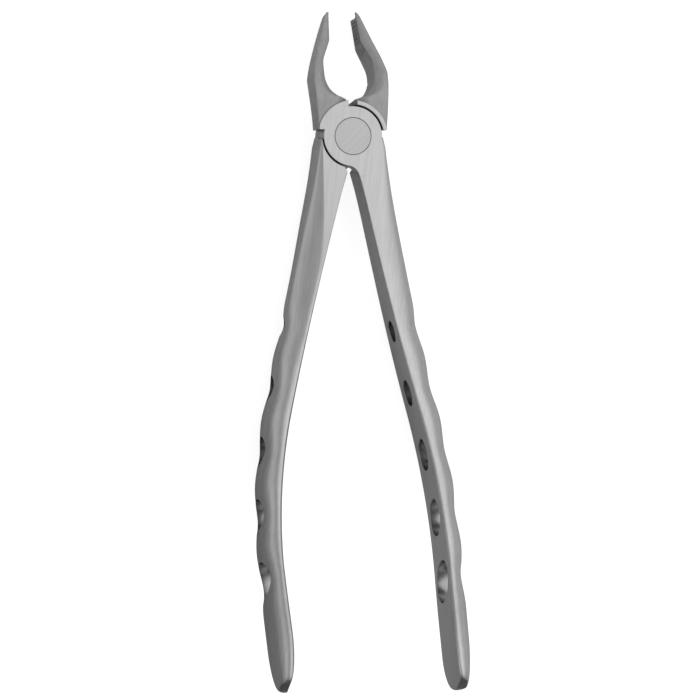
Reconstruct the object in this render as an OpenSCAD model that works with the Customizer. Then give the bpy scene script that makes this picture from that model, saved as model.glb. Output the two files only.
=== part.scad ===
// Extraction forceps: two forged halves that cross in a round lap joint on one flush pivot.
// It lies on its back with the jaws a little open: the pivot axis is Z, the jaws point to +Y,
// the handles to -Y, and the back face of the joint lies on Z = 0. All sizes in millimetres.

/* [Joint] */
// Thickness of the whole joint, both lap discs together
joint_t = 9.6; // [8:0.1:12]
// Radius of the two lap discs
disc_r = 7.8; // [6.5:0.1:8.2]
// Radius of the ground flat that reaches out onto the jaws
flat_r = 9.4; // [9:0.1:10]
// Half the width of the ground flats at the front
flat_x = 8.9; // [8.5:0.1:9.2]
// Free play between a lap disc and the shoulder around it
shoulder_gap = 0.4; // [0.3:0.05:0.6]
// Free play between the two lap faces
lap_gap = 0.1; // [0.06:0.02:0.2]
// How far the ground flats stand proud of the forged handles
flat_proud = 0.03; // [0.02:0.01:0.1]

/* [Pivot] */
// Diameter of the flush head in the front face
head_d = 9.6; // [8:0.1:11]
// Thickness of the head
head_t = 2.4; // [1.6:0.1:3]
// Diameter of the shank
shank_d = 6; // [4:0.1:7]
// Diameter of the closed tail in the back face
tail_d = 8; // [7:0.1:9]
// Height of the cone under the tail
tail_h = 1; // [0.6:0.1:1.6]
// Radial clearance of the pivot in the half that turns on it
pivot_play = 0.05; // [0.02:0.01:0.1]

/* [Handles] */
// Distance of the straight leg's centre line from the pivot axis
leg_offset = 3.4; // [2.5:0.1:4.5]
// Lean of the straight leg away from the middle
leg_angle = 13.1; // [11:0.1:15]
// Length of the straight leg
leg_len = 73; // [60:1:90]
// Radius of the bow that turns the grip parallel to the middle
bow_r = 170; // [120:5:260]
// Angle through which the bow turns the grip
bow_angle = 14.5; // [12:0.5:16]
// Where a handle starts, measured along its plan line from the foot beside the pivot
handle_root = 2; // [1.5:0.1:4]
// Length of a handle measured along its plan line
handle_len = 145; // [120:1:170]
// Length of the rounded end
end_len = 10; // [6:0.5:14]
// How far the outer face draws in toward the end
end_draw = 1.3; // [0:0.1:2]
// Thickness across the neck
neck_t = 7.4; // [6:0.1:9]
// Thickness across the end of the grip
grip_t = 5.1; // [4:0.1:7]
// Extra thickness where the handle runs into the joint
root_t = 1.6; // [0:0.1:2.4]
// How far the outer corner of the handle's upper end is cut back
shoulder_cut = 0.4; // [0:0.1:0.8]
// Length of that cut along the handle
shoulder_len = 2.8; // [1.5:0.1:4]
// Length of the long bevels that run from the joint until they meet the inner face
bevel_len = 36; // [30:1:50]
// Depth of the grip from front to back
grip_depth = 15; // [12:0.5:18]
// Rounding of the edges of the flat inner face, which is a quarter of it at the joint
edge_r = 0.5; // [0.3:0.1:1]
// How far the swell of the outer face lies toward the front
swell_z = 1.8; // [0:0.1:2.5]
// How far the neck dips behind the joint
neck_dip = 1.2; // [0:0.1:3]
// Where the grip begins to curve toward the front
lift_start = 46; // [35:1:60]
// Radius of that curve
lift_r = 185; // [150:5:300]
// Radius of the fillet between a lap disc and the inner face of its handle
crotch_r = 3.5; // [2:0.1:4]
// Length of the relief that the other half's fillet swings into
relief_len = 1.2; // [1:0.1:1.6]

/* [Grip holes] */
// Number of holes in each handle
hole_count = 5; // [2:1:5]
// Diameter of the hole nearest to the joint
hole_d = 5.6; // [4:0.1:7]
// How much wider each next hole is
hole_step = 1.35; // [0:0.05:1.4]
// Distance from the pivot to the first hole along the handle
hole_start = 52; // [48:0.5:56]
// Distance from the last hole to the end of the handle
hole_end = 26.6; // [20:0.1:34]
// Depth of the finger wave on the outer face
wave = 0.65; // [0:0.05:1]

/* [Jaws] */
// Reach of the jaws beyond the pivot axis
jaw_len = 31.8; // [27:0.1:36]
// Lean of the jaws toward the back
jaw_lean = 24; // [10:0.5:30]
// Where the jaws begin to lean
jaw_bend_y = 3; // [2:0.5:6]
// Length of the bend
jaw_bend_len = 13; // [8:0.5:14]
// Distance of the lower end of the jaws from the pivot axis
jaw_root_y = 1.7; // [1.5:0.1:2.5]
// Half the joint's width where the jaws start
jaw_root_x = 9.25; // [9:0.05:10]
// Distance of a jaw's inner side from the middle where it crosses the joint
jaw_side = 1.2; // [0.8:0.1:2]
// Forging draft of the outer sides of the jaws, which narrows them toward the back
jaw_draft = 5.5; // [0:0.5:7]
// Half the width over the outer corner of the jaws
jaw_corner_x = 10.35; // [10:0.05:12]
// Distance of that corner from the pivot axis
jaw_corner_y = 15.5; // [14:0.1:18]
// Depth of a jaw beside the round opening
jaw_depth = 9.8; // [8:0.1:11]
// Width of the broken edges along the inner side of a jaw
jaw_break = 0.7; // [0.2:0.1:1]
// Half the open width at the tips
tip_gap = 3.5; // [3:0.1:5]
// Thickness of a tip
tip_t = 1.4; // [1:0.1:2]
// Bevel on the outer edge of a tip
tip_bevel = 0.9; // [0.2:0.1:1]
// Depth of a tip from front to back
tip_depth = 5.4; // [4:0.1:7]
// Radius of the round opening behind the gripping faces
throat_r = 6.7; // [6:0.1:7.2]
// Distance of its centre from the pivot axis
throat_y = 16; // [15.6:0.1:18]
// Lean of that opening with the jaws
throat_lean = 8; // [0:0.5:10]
// Length of the gripping faces
grip_len = 7.6; // [5:0.1:10]
// How much further apart the gripping faces stand at their inner end
grip_flare = 0.65; // [0:0.05:1]
// Radius of the hollow ground into a gripping face
hollow_r = 4.2; // [3.5:0.1:6]
// Depth of that hollow
hollow_depth = 0.6; // [0.4:0.1:1]
// Number of grooves across a gripping face
groove_count = 6; // [0:1:7]
// Distance from groove to groove
groove_pitch = 1.15; // [1:0.05:1.5]
// Depth of a groove
groove_depth = 0.25; // [0.1:0.05:0.4]

/* [Hidden] */
$fn = 96;
half_t = joint_t / 2;
recess_r = disc_r + shoulder_gap;
bow_len = bow_r * bow_angle * PI / 180;
leg_foot = leg_offset * [cos(leg_angle), sin(leg_angle)];
bow_centre = leg_foot + leg_len * [sin(leg_angle), -cos(leg_angle)]
    - bow_r * [cos(leg_angle), sin(leg_angle)];
hole_pitch = (handle_len - hole_start - hole_end) / (hole_count - 1);
jaw_bend_r = jaw_bend_len / sin(jaw_lean);
face_y = jaw_len - grip_len;
face_x = tip_gap + grip_flare;
face_turn = atan(grip_flare / grip_len);
// Middle of the round opening along the jaws, and where a straight line from the gripping
// face meets it without a corner
lip_y = throat_y + 1;
lip_angle = atan2(face_y - lip_y, face_x) - acos(throat_r / norm([face_x, face_y - lip_y]));
lip_end = [0, lip_y] + throat_r * [cos(lip_angle), sin(lip_angle)];

// Soft step from 0 at a to 1 at b
function ease(a, b, s) = let (u = max(0, min(1, (s - a) / (b - a)))) u * u * (3 - 2 * u);

// Plan line of a handle: straight leg, bow, straight end
function bow_turn(s) = min(bow_angle, max(0, s - leg_len) / bow_r * 180 / PI);
function heading(s) = leg_angle - bow_turn(s);
function along(h) = [sin(h), -cos(h)];
function plan_point(s) = s <= leg_len
    ? leg_foot + s * along(leg_angle)
    : bow_centre + bow_r * [cos(heading(s)), sin(heading(s))]
        + max(0, s - leg_len - bow_len) * along(heading(s));

// Height of the handle's middle over the lap plane, and its slope
function lift(s) = -neck_dip * ease(8, 44, s)
    + (s > lift_start ? lift_r - sqrt(pow(lift_r, 2) - pow(s - lift_start, 2)) : 0);
function climb(s) = atan((lift(s + 0.01) - lift(s - 0.01)) / 0.02);

// Thickness and depth of the handle
function bar_t(s) = neck_t + (grip_t - neck_t) * max(0, min(1, (s - 19) / 96))
    + root_t * pow(max(0, 1 - (s - 5) / 16), 2);
function bar_depth(s) = joint_t - 2 * flat_proud + (grip_depth - joint_t) * ease(10, 92, s);
function wave_cut(s) = wave / 2 * (1 + cos(360 * (s - hole_start) / hole_pitch))
    * ease(hole_start - 8, hole_start, s)
    * (1 - ease(handle_len - hole_end + 3, handle_len - hole_end + 11, s));

// Rounding of the handle's end: 1 along the bar, nearly 0 at the tip; the front starts to
// fall twice as far from the tip as the back
function end_way(s, length) = max(0, (s - handle_len + length) / length);
function end_u(s) = end_way(s, end_len);
function end_back(s) = max(0.05, sqrt(max(0, 1 - pow(end_u(s), 2.2))));
function end_front(s) = max(0.05, sqrt(max(0, 1 - pow(end_way(s, 2 * end_len), 2.2))));
function end_t(s) = max(0.3, sqrt(max(0, 1 - pow(end_u(s), 4))));

// Outline across the handle: a flat inner face and a round outer face whose swell lies
// toward the front; near the joint it starts as a bevel with a crisp edge, because the arc
// stops at the angle w; dir is +1 for the front part and -1 for the back part
function bar_part(s, dir) = let (
        a = bar_t(s) / 2,
        b = bar_depth(s) / 2,
        ao = a - wave_cut(s) - end_draw * pow(end_u(s), 1.5)
            - shoulder_cut * max(0, 1 - (s - handle_root) / shoulder_len),
        b2 = b - dir * swell_z * ease(15, 40, s) * (1 - ease(110, 140, s)),
        rx = min(a + ao - edge_r - 0.2, 0.5 + (2 * a - edge_r - 0.7) * ease(0, bevel_len, s)),
        rz = 0.5 + (b2 - 0.6) * ease(0, 1.3 * bevel_len, s),
        w = 60 + 30 * ease(bevel_len, 2 * bevel_len, s),
        e = edge_r * (0.25 + 0.75 * ease(12, 26, s))
    ) concat(
        [for (k = [0:6]) [
            ao - rx * (1 - cos(w * k / 6)) / (1 - cos(w)),
            dir * (b - rz + rz * sin(w * k / 6) / sin(w))
        ]],
        [for (k = [0:2]) [e * (1 - sin(45 * k)) - a, dir * (b - e * (1 - cos(45 * k)))]]
    );
function bar_ring(s) = let (
        p = plan_point(s),
        h = heading(s),
        c = climb(s),
        n1 = [cos(h), sin(h), 0],
        n2 = cross([sin(h) * cos(c), -cos(h) * cos(c), sin(c)], n1),
        back = bar_part(s, -1),
        outline = concat(bar_part(s, 1), [for (k = [len(back) - 1:-1:0]) back[k]])
    ) [for (e = outline)
        [p.x, p.y, lift(s)] + n1 * e.x * end_t(s)
            + n2 * e.y * (e.y > 0 ? end_front(s) : end_back(s))];

// Middle line of a jaw: it leaves the joint level and leans back along a bend
function bend_u(y) = max(0, min(jaw_bend_len, y - jaw_bend_y));
function jaw_tilt(y) = asin(bend_u(y) / jaw_bend_r);
function jaw_z(y) = sqrt(pow(jaw_bend_r, 2) - pow(bend_u(y), 2)) - jaw_bend_r
    - tan(jaw_lean) * max(0, y - jaw_bend_y - jaw_bend_len);

// Inner and outer edge and depth of a jaw
function jaw_in(y) = y < lip_y
    ? lookup(y, [[throat_y - 3.6, jaw_side], [throat_y - 0.7, throat_r]])
    : y < lip_end.y
        ? sqrt(pow(throat_r, 2) - pow(y - lip_y, 2))
        : lookup(y, [[lip_end.y, lip_end.x], [face_y, face_x], [jaw_len, tip_gap]]);
function jaw_out(y) = let (
        tip_y = jaw_len - tip_bevel,
        tip_x = tip_gap + tip_t
    ) y < jaw_corner_y
        ? lookup(y, [[jaw_root_y, jaw_root_x], [jaw_corner_y, jaw_corner_x]])
        : jaw_corner_x + (tip_x - jaw_corner_x)
            * pow(min(1, (y - jaw_corner_y) / (tip_y - jaw_corner_y)), 1.2)
            - max(0, y - tip_y);
function jaw_deep(y) = lookup(y, [
    [jaw_root_y, joint_t - 0.6],
    [throat_y, jaw_depth],
    [face_y, 0.5 * (jaw_depth + tip_depth)],
    [jaw_len, tip_depth]
]);
function jaw_half(y) = let (
        xi = jaw_in(y),
        xo = jaw_out(y),
        b = jaw_deep(y) / 2,
        rx = min(2, 0.7 * (xo - xi)),
        rz = 0.8 * b,
        c = 0.05 + (jaw_break - 0.05) * (1 - ease(face_y - 4, face_y, y))
    ) concat(
        [for (k = [0:5]) [xo - rx + rx * cos(18 * k), b - rz + rz * sin(18 * k)]],
        [[xi + c, b], [xi, b - c]]
    );
function jaw_ring(y) = let (
        n2 = [0, sin(jaw_tilt(y)), cos(jaw_tilt(y))],
        q = jaw_half(y),
        m = len(q) - 1,
        outline = concat(q, [for (k = [m:-1:0]) [q[k].x, -q[k].y]]),
        xi = jaw_in(y),
        pull = tan(jaw_draft) / (jaw_out(y) - xi)
    ) [for (e = outline) [e.x + (e.x - xi) * e.y * pull, y, jaw_z(y)] + n2 * e.y];

// Skin over a row of rings that all have the same number of points
module skin(rings) {
    n = len(rings[0]);
    m = len(rings) - 1;
    polyhedron(
        points = [for (r = rings) each r],
        faces = concat(
            [[for (k = [0:n - 1]) k]],
            [[for (k = [n - 1:-1:0]) m * n + k]],
            [for (i = [0:m - 1], k = [0:n - 1]) [i * n + k, (i + 1) * n + k, i * n + (k + 1) % n]],
            [for (i = [0:m - 1], k = [0:n - 1])
                [i * n + (k + 1) % n, (i + 1) * n + k, (i + 1) * n + (k + 1) % n]]
        )
    );
}

// Forged bar of the right handle
module handle_bar() {
    bar_end = handle_len - end_len;
    count = 48;
    stations = concat(
        [for (k = [0:count]) handle_root + (bar_end - handle_root) * k / count],
        [for (k = [1:8]) bar_end + end_len * sin(90 * k / 8)]
    );
    skin([for (s = stations) bar_ring(s)]);
}

// Round holes through the flat inner face
module grip_holes() {
    for (i = [0:hole_count - 1]) {
        s = hole_start + i * hole_pitch;
        translate([plan_point(s).x, plan_point(s).y, lift(s)])
            rotate([0, 90, heading(s)])
                cylinder(d = hole_d + i * hole_step, h = 20, center = true);
    }
}

// Forged blank of the right jaw, from the tip down to the joint
module jaw_bar() {
    bevel_y = jaw_len - tip_bevel;
    stations = concat(
        [jaw_len],
        [for (k = [4:-1:1]) face_y + (bevel_y - face_y) * k / 4],
        [for (k = [6:-1:1]) jaw_corner_y + (face_y - jaw_corner_y) * k / 6],
        [for (k = [8:-1:0]) jaw_root_y + (jaw_corner_y - jaw_root_y) * k / 8]
    );
    skin([for (y = stations) jaw_ring(y)]);
}

// Hollow of the right gripping face, a round gouge that follows the leaning jaw
module gripping_hollow() {
    translate([face_x + hollow_depth - hollow_r, face_y, jaw_z(face_y)])
        rotate([-90 - jaw_lean, 0, face_turn]) {
            sphere(r = hollow_r);
            cylinder(r = hollow_r, h = 2 * grip_len);
            for (i = [1:groove_count])
                translate([0, 0, i * groove_pitch])
                    groove_ring();
        }
}

// Groove around the hollow with sides at 45 degrees
module groove_ring() {
    rotate_extrude()
        polygon([
            [hollow_r - 1, -groove_depth - 1],
            [hollow_r + groove_depth, 0],
            [hollow_r - 1, groove_depth + 1]
        ]);
}

// Flat around the joint on the side of the right jaw
module ground_flat() {
    back_x = flat_x - joint_t * tan(jaw_draft);
    intersection() {
        cylinder(r = flat_r, h = joint_t + 2, center = true);
        translate([0, jaw_root_y + flat_r, 0])
            rotate([90, 0, 0])
                linear_extrude(height = flat_r)
                    polygon([
                        [jaw_side, -half_t],
                        [back_x, -half_t],
                        [flat_x, half_t],
                        [jaw_side, half_t]
                    ]);
    }
}

// Round opening between the jaws with a broken front edge
module throat() {
    front_z = jaw_z(throat_y) + jaw_depth / 2 / cos(jaw_lean);
    translate([0, throat_y, 0])
        rotate([-throat_lean, 0, 0]) {
            cylinder(r = throat_r, h = 3 * joint_t, center = true);
            translate([0, 0, front_z])
                rotate([throat_lean - jaw_lean + 3, 0, 0])
                    cylinder(r1 = throat_r + jaw_break - 1.5, r2 = throat_r + jaw_break + 1.5,
                        h = 3, center = true);
        }
}

// Point on the inner face of the right handle's root at the distance s along its plan line
function inner_point(s) = (leg_offset - bar_t(s) / 2) * [cos(leg_angle), sin(leg_angle)]
    + s * along(leg_angle);

// Fillet in plan between the lap disc and the inner face of the right handle
module crotch_plan() {
    s = sqrt(pow(disc_r + crotch_r, 2) - pow(crotch_r + 0.8, 2));
    foot = inner_point(s);
    centre = foot - crotch_r * [cos(leg_angle), sin(leg_angle)];
    difference() {
        polygon([
            centre * disc_r / norm(centre),
            foot,
            foot + [2, 0],
            [2, -0.6 * disc_r]
        ]);
        translate(centre)
            circle(r = crotch_r);
    }
}

// Corner of the right handle's inner face that the other half's fillet swings into
module relief_plan() {
    low = inner_point(recess_r + relief_len);
    high = recess_r * [cos(-74), sin(-74)];
    polygon([high, low, low - [3, 0], high - [4, 0]]);
}

// One half with its handle on the right and its jaw on the left; side is +1 when its lap
// disc lies in front and -1 when it lies at the back
module half(side) {
    difference() {
        union() {
            difference() {
                handle_bar();
                grip_holes();
            }
            mirror([1, 0, 0])
                difference() {
                    union() {
                        jaw_bar();
                        ground_flat();
                    }
                    gripping_hollow();
                }
            translate([0, 0, side * half_t / 2])
                cylinder(r = disc_r, h = half_t, center = true);
            translate([0, 0, side * (half_t + lap_gap / 2 - flat_proud) / 2])
                linear_extrude(height = half_t - lap_gap / 2 - flat_proud, center = true)
                    crotch_plan();
        }
        translate([0, 0, side * (lap_gap / 2 - joint_t)]) {
            cylinder(r = recess_r, h = 2 * joint_t, center = true);
            linear_extrude(height = 2 * joint_t, center = true)
                relief_plan();
        }
        throat();
    }
}

// Half with the right handle and the left jaw; it turns on the pivot
module front_half() {
    color("silver")
        translate([0, 0, half_t])
            difference() {
                half(1);
                cylinder(d = shank_d + 2 * pivot_play, h = 3 * joint_t, center = true);
                translate([0, 0, half_t - head_t - lap_gap])
                    cylinder(d = head_d + 2 * pivot_play, h = joint_t);
            }
}

// Half with the left handle and the right jaw; it holds the pivot
module rear_half() {
    color("lightgray")
        translate([0, 0, half_t])
            difference() {
                mirror([1, 0, 0])
                    half(-1);
                pivot_seat();
            }
}

// Stepped pivot: flush head, shank and closed tail
module pivot_solid() {
    rotate_extrude()
        polygon([
            [0, -half_t],
            [tail_d / 2, -half_t],
            [shank_d / 2, tail_h - half_t],
            [shank_d / 2, half_t - head_t],
            [head_d / 2, half_t - head_t],
            [head_d / 2, half_t],
            [0, half_t]
        ]);
}

// Countersunk hole that the shank and the tail fill
module pivot_seat() {
    over = 0.5;
    rotate_extrude()
        polygon([
            [0, -half_t - over],
            [tail_d / 2 + over * (tail_d - shank_d) / 2 / tail_h, -half_t - over],
            [shank_d / 2, tail_h - half_t],
            [shank_d / 2, joint_t],
            [0, joint_t]
        ]);
}

module pivot() {
    color("gainsboro")
        translate([0, 0, half_t])
            pivot_solid();
}

front_half();
rear_half();
pivot();
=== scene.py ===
# %% [markdown]
# # Extraction forceps in satin steel
# This lesson dresses one dental instrument: two forged halves that cross in a lap joint and
# turn on one flush pivot. The construction model gives the frame, the sizes and the joint.
# Here each piece is built again with a much finer skin, so that the long curves of the
# handles reflect light without facets.

# %% Open the frame
import math
import bpy
import numpy as np
from mathutils import Matrix, Vector


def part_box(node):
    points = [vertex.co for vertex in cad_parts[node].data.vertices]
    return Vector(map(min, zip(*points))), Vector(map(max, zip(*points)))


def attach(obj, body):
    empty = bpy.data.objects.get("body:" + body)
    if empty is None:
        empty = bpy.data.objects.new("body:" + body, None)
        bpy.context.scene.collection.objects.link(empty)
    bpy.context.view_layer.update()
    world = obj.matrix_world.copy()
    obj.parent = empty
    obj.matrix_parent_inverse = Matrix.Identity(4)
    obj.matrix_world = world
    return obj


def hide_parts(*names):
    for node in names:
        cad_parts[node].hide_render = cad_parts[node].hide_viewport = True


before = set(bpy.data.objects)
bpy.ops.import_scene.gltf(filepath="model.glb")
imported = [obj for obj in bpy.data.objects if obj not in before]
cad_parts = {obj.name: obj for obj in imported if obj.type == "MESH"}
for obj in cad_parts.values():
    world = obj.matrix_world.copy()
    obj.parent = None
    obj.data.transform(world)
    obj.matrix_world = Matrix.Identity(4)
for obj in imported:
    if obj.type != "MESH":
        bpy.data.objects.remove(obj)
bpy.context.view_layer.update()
MM = 0.001

# %% [markdown]
# ## Sizes of the joint
# The joint is the ground middle of the instrument, where the halves cross around the pivot.
# Its thickness and the pivot's head are measured on the construction model. Most other sizes
# can't be read off a box, so the lesson names the same values that shape that model, in
# millimetres, each where it is first needed, and the fine pieces lie on the plain ones. The
# last four values here serve the work in this script.

# %% Sizes of the joint
pivot_low, pivot_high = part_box("pivot")
JOINT_T = (pivot_high.z - pivot_low.z) / MM
HALF_T = JOINT_T / 2
HEAD_R = (pivot_high.x - pivot_low.x) / 2 / MM
HEAD_T = 2.4
SHANK_R = 3.0
TAIL_R = 4.0
TAIL_H = 1.0
PLAY = 0.05
DISC_R = 7.8
SHOULDER_GAP = 0.4
RECESS_R = DISC_R + SHOULDER_GAP
LAP_GAP = 0.1
EDGE = 0.12  # width of a broken edge
RIM = 0.15  # rounding of a hole's rim
ALLOWANCE = 0.02  # steel left on for grinding
THROUGH = 20.0  # reach of a tool that passes right through
print("joint thickness %.2f mm, head radius %.2f mm" % (JOINT_T, HEAD_R))

# %% [markdown]
# ## Line of the handle
# A handle is drawn as a line first: a straight leg that leaves the joint, then a bow that
# turns the grip parallel to the middle. A freehand curve could be traced instead, but
# everything else hangs on this line, and with named radii one number moves the whole handle.

# %% Line of the handle
LEG_OFFSET = 3.4
LEG_ANGLE = math.radians(13.1)
LEG_LEN = 73.0
BOW_R = 170.0
BOW_ANGLE = math.radians(14.5)
BOW_LEN = BOW_R * BOW_ANGLE
HANDLE_LEN = 145.0
LEG_SIDE = np.array([math.cos(LEG_ANGLE), math.sin(LEG_ANGLE)])
LEG_FOOT = LEG_OFFSET * LEG_SIDE


def heading(s):
    return LEG_ANGLE - min(BOW_ANGLE, max(0.0, s - LEG_LEN) / BOW_R)


def along(h):
    return np.array([math.sin(h), -math.cos(h)])


BOW_CENTRE = LEG_FOOT + LEG_LEN * along(LEG_ANGLE) - BOW_R * LEG_SIDE


def plan_point(s):
    if s <= LEG_LEN:
        return LEG_FOOT + s * along(LEG_ANGLE)
    h = heading(s)
    on_bow = BOW_CENTRE + BOW_R * np.array([math.cos(h), math.sin(h)])
    return on_bow + max(0.0, s - LEG_LEN - BOW_LEN) * along(h)


print("grip end at", plan_point(HANDLE_LEN).round(1), "mm")

# %% [markdown]
# ## Lift of the handle
# Seen from the side, the handle sinks a little behind the joint and then rises in one arc
# toward the front. A bend modifier could do that to a straight bar, but it would bend the
# holes too. Here the height is a formula of the way along the handle, eased so that no kink
# shows in the reflections.

# %% Lift of the handle
LIFT_START = 46.0
LIFT_R = 185.0
NECK_DIP = 1.2
DIP_FROM, DIP_TO = 8, 44
SLOPE_STEP = 0.01


def ease(a, b, s):
    """0 up to a, 1 from b on, and a soft S between them."""
    u = min(1.0, max(0.0, (s - a) / (b - a)))
    return u * u * (3 - 2 * u)


def lift(s):
    past = max(0.0, s - LIFT_START)
    rise = LIFT_R - math.sqrt(LIFT_R ** 2 - past ** 2)
    return rise - NECK_DIP * ease(DIP_FROM, DIP_TO, s)


def climb(s):
    return math.atan((lift(s + SLOPE_STEP) - lift(s - SLOPE_STEP)) / (2 * SLOPE_STEP))


print("grip end lifted %.1f mm" % lift(HANDLE_LEN))

# %% [markdown]
# ## Thickness and depth of the handle
# From side to side the bar is thickest at the root and tapers toward the grip; from front to
# back it deepens. A box could be pulled into that shape by hand, but two short formulas can be
# measured and changed. At the root the bar is left a hair too deep, to be ground level with
# the joint later.

# %% Thickness and depth of the handle
NECK_T = 7.4
GRIP_T = 5.1
ROOT_T = 1.6
GRIP_DEPTH = 15.0
TAPER_FROM, TAPER_LEN = 19, 96
ROOT_FROM, ROOT_LEN = 5, 16
GROUND_FROM, GROUND_TO = 4, 9
DEEPEN_FROM, DEEPEN_TO = 10, 92


def bar_t(s):
    taper = min(1.0, max(0.0, (s - TAPER_FROM) / TAPER_LEN))
    root = max(0.0, 1 - (s - ROOT_FROM) / ROOT_LEN) ** 2
    return NECK_T + (GRIP_T - NECK_T) * taper + ROOT_T * root


def bar_depth(s):
    left_on = 2 * ALLOWANCE * (1 - ease(GROUND_FROM, GROUND_TO, s))
    return JOINT_T + left_on + (GRIP_DEPTH - JOINT_T) * ease(DEEPEN_FROM, DEEPEN_TO, s)


print("handle %.1f mm thick at the neck" % bar_t(TAPER_FROM))
print("handle %.1f mm thick at the end" % bar_t(HANDLE_LEN))

# %% [markdown]
# ## Finger wave
# The outer side of a grip dips at every hole. Cylinders could cut the dips, but they leave
# hard lines between them. A cosine with the pitch of the holes runs smoothly from dip to dip,
# faded in before the first hole and out behind the last. The pitch follows from the places of
# the first and the last hole, so a longer handle spreads holes and waves together.

# %% Finger wave
HOLE_COUNT = 5
HOLE_D = 5.6
HOLE_STEP = 1.35
HOLE_START = 52.0
HOLE_END = 26.6
LAST_HOLE = HANDLE_LEN - HOLE_END
HOLE_PITCH = (HANDLE_LEN - HOLE_START - HOLE_END) / (HOLE_COUNT - 1)
WAVE = 0.65
WAVE_IN, WAVE_STAY, WAVE_OUT = 8, 3, 11


def wave_cut(s):
    swing = (1 + math.cos(2 * math.pi * (s - HOLE_START) / HOLE_PITCH)) / 2
    begin = ease(HOLE_START - WAVE_IN, HOLE_START, s)
    fade = ease(LAST_HOLE + WAVE_STAY, LAST_HOLE + WAVE_OUT, s)
    return WAVE * swing * begin * (1 - fade)


print("%d holes, %.1f mm apart" % (HOLE_COUNT, HOLE_PITCH))

# %% [markdown]
# ## Outer side of the handle
# Cut across, a handle has a flat inner face and a round outer side. Near the joint the section
# is almost a rectangle with a bevel; the bevel widens along the neck and swells into half an
# ellipse at the grip. A bevel modifier has one width everywhere, so the arc is drawn anew for
# every place along the handle. Near the joint it stops short of level, which leaves a crisp
# line beside the flat. Front and back differ only in how far the side swells.

# %% Outer side of the handle
EDGE_CUT = 0.55
BEVEL_LEN = 36.0
BEVEL_DEEP_LEN = 1.3 * BEVEL_LEN
ARC_LEN = 2 * BEVEL_LEN
BEVEL_MIN = 0.5
FLAT_LEFT, SIDE_LEFT = 0.2, 0.1
SWELL_Z = 1.8
SWELL_FROM, SWELL_FULL, SWELL_HELD, SWELL_GONE = 15, 40, 110, 140
ARC_NECK, ARC_GRIP = 60, 90


def outer_arc(s, front, inner_x, outer_x, steps):
    half_depth = bar_depth(s) / 2
    most = inner_x + outer_x - EDGE_CUT - FLAT_LEFT
    grown = bar_t(s) - EDGE_CUT - (BEVEL_MIN + FLAT_LEFT)
    wide = min(most, BEVEL_MIN + grown * ease(0, BEVEL_LEN, s))
    swell = SWELL_Z * ease(SWELL_FROM, SWELL_FULL, s) * (1 - ease(SWELL_HELD, SWELL_GONE, s))
    grown = half_depth - front * swell - (BEVEL_MIN + SIDE_LEFT)
    deep = BEVEL_MIN + grown * ease(0, BEVEL_DEEP_LEN, s)
    arc = math.radians(ARC_NECK + (ARC_GRIP - ARC_NECK) * ease(BEVEL_LEN, ARC_LEN, s))
    t = np.linspace(0, arc, steps)
    x = outer_x - wide * (1 - np.cos(t)) / (1 - math.cos(arc))
    z = half_depth - deep + deep * np.sin(t) / math.sin(arc)
    return np.stack([x, front * z], 1)


print("the outer side is half an ellipse from %.0f mm on" % ARC_LEN)

# %% [markdown]
# ## Section of the handle
# A narrow, almost flat cut breaks the edges of the inner face. It joins the outer arc to one
# half of the section. The two halves, front and back, could be drawn as one long list of
# points, but one function with a sign keeps them alike. Near its end the bar is drawn in.

# %% Section of the handle
HANDLE_ROOT = 2.0
SHOULDER_CUT, SHOULDER_LEN = 0.4, 2.8
EDGE_LEAST, EDGE_FROM, EDGE_FULL = 0.25, 20, 90
STRAIGHT, CURVED = 0.8, 0.2
END_LEN = 10.0
END_DRAW, DRAW_POWER = 0.8, 1.5


def end_way(s, length):
    """0 until the last length of the handle, then up to 1 at its end."""
    return max(0.0, (s - HANDLE_LEN + length) / length)


def inner_edge(s, front, inner_x, steps):
    cut = EDGE_CUT * (EDGE_LEAST + (1 - EDGE_LEAST) * ease(EDGE_FROM, EDGE_FULL, s))
    t = np.linspace(0, math.pi / 2, steps)
    flat = t * 2 / math.pi
    inward = STRAIGHT * flat + CURVED * np.sin(t)
    down = STRAIGHT * flat + CURVED * (1 - np.cos(t))
    return np.stack([cut * (1 - inward) - inner_x, front * (bar_depth(s) / 2 - cut * down)], 1)


def bar_part(s, front, outer_steps, inner_steps):
    """The front (1) or the back (-1) of a section, from the outer side to the inner face."""
    inner_x = bar_t(s) / 2 - END_DRAW * end_way(s, END_LEN) ** DRAW_POWER
    shoulder = SHOULDER_CUT * max(0.0, 1 - (s - HANDLE_ROOT) / SHOULDER_LEN)
    outer_x = inner_x - wave_cut(s) - shoulder
    outer = outer_arc(s, front, inner_x, outer_x, outer_steps)
    return np.concatenate([outer, inner_edge(s, front, inner_x, inner_steps)])


RING_STEPS = ((24, 8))
print("%.1f mm thick at the first hole" % np.ptp(bar_part(HOLE_START, 1, *RING_STEPS)[:, 0]))

# %% [markdown]
# ## Rings of the handle
# The sections are set across the line as rings, which a skin joins later. Toward the end the
# rings shrink and sink a little, and the last one stays open enough to leave a small blunt
# cap. A bevel on the end would treat all sides alike. So front, back and sides each have their
# own rounding, given as its length, its power and the part left at the end.

# %% Rings of the handle
END_SINK = 1.4
FRONT_END = (1.6 * END_LEN, 2.6, 0.5)
BACK_END = (END_LEN, 2.2, 0.05)
SIDE_END = (END_LEN, 6, 0.6)


def end_size(s, length, power, least):
    return least + (1 - least) * math.sqrt(max(0.0, 1 - end_way(s, length) ** power))


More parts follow.
